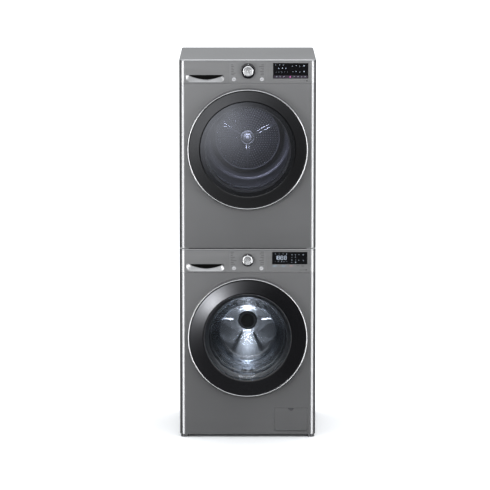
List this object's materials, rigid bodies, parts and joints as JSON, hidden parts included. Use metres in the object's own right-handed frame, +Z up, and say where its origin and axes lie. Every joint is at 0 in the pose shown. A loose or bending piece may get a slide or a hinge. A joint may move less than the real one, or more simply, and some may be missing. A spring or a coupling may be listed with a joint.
{
  "type": "washer dryer stack",
  "caption": "Front-loading washing machine with a heat-pump tumble dryer stacked on top, round glass doors, dial, drawer and display on each, all moving parts jointed.",
  "frame": {"origin": "centre of the footprint's bounding box at the bottom of the feet", "axes": "+X to the right as seen from the front, +Y towards the back, +Z up; the doors face -Y"},
  "size_m": [0.6, 0.69, 1.68],
  "materials": {
    "cabinet_steel": "satin metallic silver grey",
    "fascia_metal": "satin metallic silver grey",
    "galvanised": "zinc coated sheet",
    "chrome_trim": "polished",
    "black_gloss": "gloss",
    "dark_plastic": "fine texture",
    "grey_plastic": "moulded",
    "white_plastic": "moulded",
    "spun_metal": "spun",
    "window_glass": "clear",
    "display_glass": "gloss",
    "gasket_rubber": "moulded",
    "belt_rubber": "ribbed",
    "drum_steel": "stainless",
    "cast_alloy": "cast",
    "concrete": "cast",
    "copper_steel": "wound core",
    "foot_plastic": "moulded"
  },
  "bodies": {
    "cabinet": {"washer_side_panels": "cabinet_steel", "dryer_side_panels": "cabinet_steel", "washer_top_panel": "cabinet_steel", "dryer_top_panel": "cabinet_steel", "washer_front_panel": "cabinet_steel", "dryer_front_panel": "cabinet_steel", "back_panels": "galvanised", "washer_base_pan": "galvanised", "dryer_base": "galvanised", "stacking_kit": "galvanised", "feet": "foot_plastic", "washer_fascia": "fascia_metal", "dryer_fascia": "fascia_metal", "display_windows": "display_glass", "washer_dispenser_housing": "grey_plastic", "door_hardware": "galvanised", "washer_gasket": "gasket_rubber", "washer_springs": "galvanised", "washer_drain_pump": "grey_plastic", "washer_inlet_valves": "white_plastic", "dryer_front_bulkhead": "galvanised", "dryer_motor": "cast_alloy", "dryer_belt": "belt_rubber", "dryer_heat_pump": "cast_alloy"},
    "washer_door": {"washer_door_ring": "dark_plastic", "washer_door_trim": "chrome_trim", "washer_door_bezel": "black_gloss", "washer_door_inner_frame": "grey_plastic", "washer_door_bowl": "window_glass"},
    "washer_tub_unit": {"washer_tub": "grey_plastic", "washer_motor_stator": "copper_steel", "washer_counterweights": "concrete"},
    "washer_drum_unit": {"washer_drum": "drum_steel", "washer_drum_lifters": "grey_plastic", "washer_drum_spider": "cast_alloy", "washer_motor_rotor": "cast_alloy"},
    "washer_drawer": {"washer_drawer_front": "fascia_metal", "washer_drawer_tray": "white_plastic"},
    "washer_dial": {"washer_knob": "spun_metal"},
    "washer_power": {"washer_power_button": "spun_metal"},
    "washer_start": {"washer_start_button": "spun_metal"},
    "washer_hatch": {"washer_pump_hatch": "cabinet_steel"},
    "washer_filter": {"washer_pump_filter": "dark_plastic"},
    "dryer_door": {"dryer_door_ring": "dark_plastic", "dryer_door_trim": "chrome_trim", "dryer_door_bezel": "black_gloss", "dryer_door_inner_frame": "grey_plastic", "dryer_door_glass": "window_glass"},
    "dryer_drum": {"dryer_drum_shell": "drum_steel", "dryer_drum_back": "drum_steel", "dryer_drum_baffles": "grey_plastic"},
    "dryer_drive": {"dryer_blower_shaft": "dark_plastic"},
    "dryer_roller_l": {"dryer_roller_left": "dark_plastic"},
    "dryer_roller_r": {"dryer_roller_right": "dark_plastic"},
    "dryer_tank": {"dryer_tank_front": "fascia_metal", "dryer_water_tank": "white_plastic"},
    "dryer_dial": {"dryer_knob": "spun_metal"},
    "dryer_power": {"dryer_power_button": "spun_metal"},
    "dryer_start": {"dryer_start_button": "spun_metal"},
    "dryer_filter": {"dryer_lint_filter": "white_plastic"}
  },
  "joints": [
    {"name": "washer_door_swing", "type": "hinge", "parent": "cabinet", "child": "washer_door", "pos_m": [-0.256, -0.326, 0.452], "axis": [0, 0, -1], "range_deg": [0, 120]},
    {"name": "washer_tub_float", "type": "slide", "parent": "cabinet", "child": "washer_tub_unit", "axis": [0, 0, 1], "range_m": [-0.008, 0.008], "stiffness_N_per_m": 30000, "springref_m": 0.00874, "deforming": ["washer_springs"]},
    {"name": "washer_drum_spin", "type": "hinge", "parent": "washer_tub_unit", "child": "washer_drum_unit", "pos_m": [0, 0.19, 0.452], "axis": [0, 1, 0], "continuous": true},
    {"name": "washer_drawer_slide", "type": "slide", "parent": "cabinet", "child": "washer_drawer", "axis": [0, -1, 0], "range_m": [0, 0.22]},
    {"name": "washer_dial_turn", "type": "hinge", "parent": "cabinet", "child": "washer_dial", "pos_m": [0, -0.3, 0.795], "axis": [0, -1, 0], "continuous": true},
    {"name": "washer_power_press", "type": "slide", "parent": "cabinet", "child": "washer_power", "axis": [0, 1, 0], "range_m": [0, 0.0015], "stiffness_N_per_m": 100, "springref_m": -0.001},
    {"name": "washer_start_press", "type": "slide", "parent": "cabinet", "child": "washer_start", "axis": [0, 1, 0], "range_m": [0, 0.0015], "stiffness_N_per_m": 100, "springref_m": -0.001},
    {"name": "washer_hatch_tilt", "type": "hinge", "parent": "cabinet", "child": "washer_hatch", "pos_m": [0.192, -0.301, 0.0287], "axis": [1, 0, 0], "range_deg": [0, 90]},
    {"name": "washer_filter_turn", "type": "hinge", "parent": "cabinet", "child": "washer_filter", "pos_m": [0.192, -0.28, 0.078], "axis": [0, -1, 0], "range_deg": [0, 360]},
    {"name": "dryer_door_swing", "type": "hinge", "parent": "cabinet", "child": "dryer_door", "pos_m": [-0.256, -0.326, 1.287], "axis": [0, 0, -1], "range_deg": [0, 120]},
    {"name": "dryer_drum_spin", "type": "hinge", "parent": "cabinet", "child": "dryer_drum", "pos_m": [0, 0.3, 1.287], "axis": [0, 1, 0], "continuous": true},
    {"name": "dryer_drive_turn", "type": "hinge", "parent": "cabinet", "child": "dryer_drive", "pos_m": [0.15, 0, 0.935], "axis": [0, 1, 0], "continuous": true},
    {"name": "dryer_roller_left_turn", "type": "hinge", "parent": "cabinet", "child": "dryer_roller_l", "pos_m": [-0.16867, -0.225, 1.01707], "axis": [0, 1, 0], "continuous": true},
    {"name": "dryer_roller_right_turn", "type": "hinge", "parent": "cabinet", "child": "dryer_roller_r", "pos_m": [0.16867, -0.225, 1.01707], "axis": [0, 1, 0], "continuous": true},
    {"name": "dryer_tank_slide", "type": "slide", "parent": "cabinet", "child": "dryer_tank", "axis": [0, -1, 0], "range_m": [0, 0.4]},
    {"name": "dryer_dial_turn", "type": "hinge", "parent": "cabinet", "child": "dryer_dial", "pos_m": [0.002, -0.3, 1.63], "axis": [0, -1, 0], "continuous": true},
    {"name": "dryer_power_press", "type": "slide", "parent": "cabinet", "child": "dryer_power", "axis": [0, 1, 0], "range_m": [0, 0.0015], "stiffness_N_per_m": 100, "springref_m": -0.001},
    {"name": "dryer_start_press", "type": "slide", "parent": "cabinet", "child": "dryer_start", "axis": [0, 1, 0], "range_m": [0, 0.0015], "stiffness_N_per_m": 100, "springref_m": -0.001},
    {"name": "dryer_filter_lift", "type": "slide", "parent": "cabinet", "child": "dryer_filter", "axis": [0, 0, 1], "range_m": [0, 0.13]}
  ],
  "couplings": [
    {"joint": "dryer_drive_turn", "follows": "dryer_drum_spin", "ratio": 23.114},
    {"joint": "dryer_roller_left_turn", "follows": "dryer_drum_spin", "ratio": -8.0857},
    {"joint": "dryer_roller_right_turn", "follows": "dryer_drum_spin", "ratio": -8.0857}
  ]
}
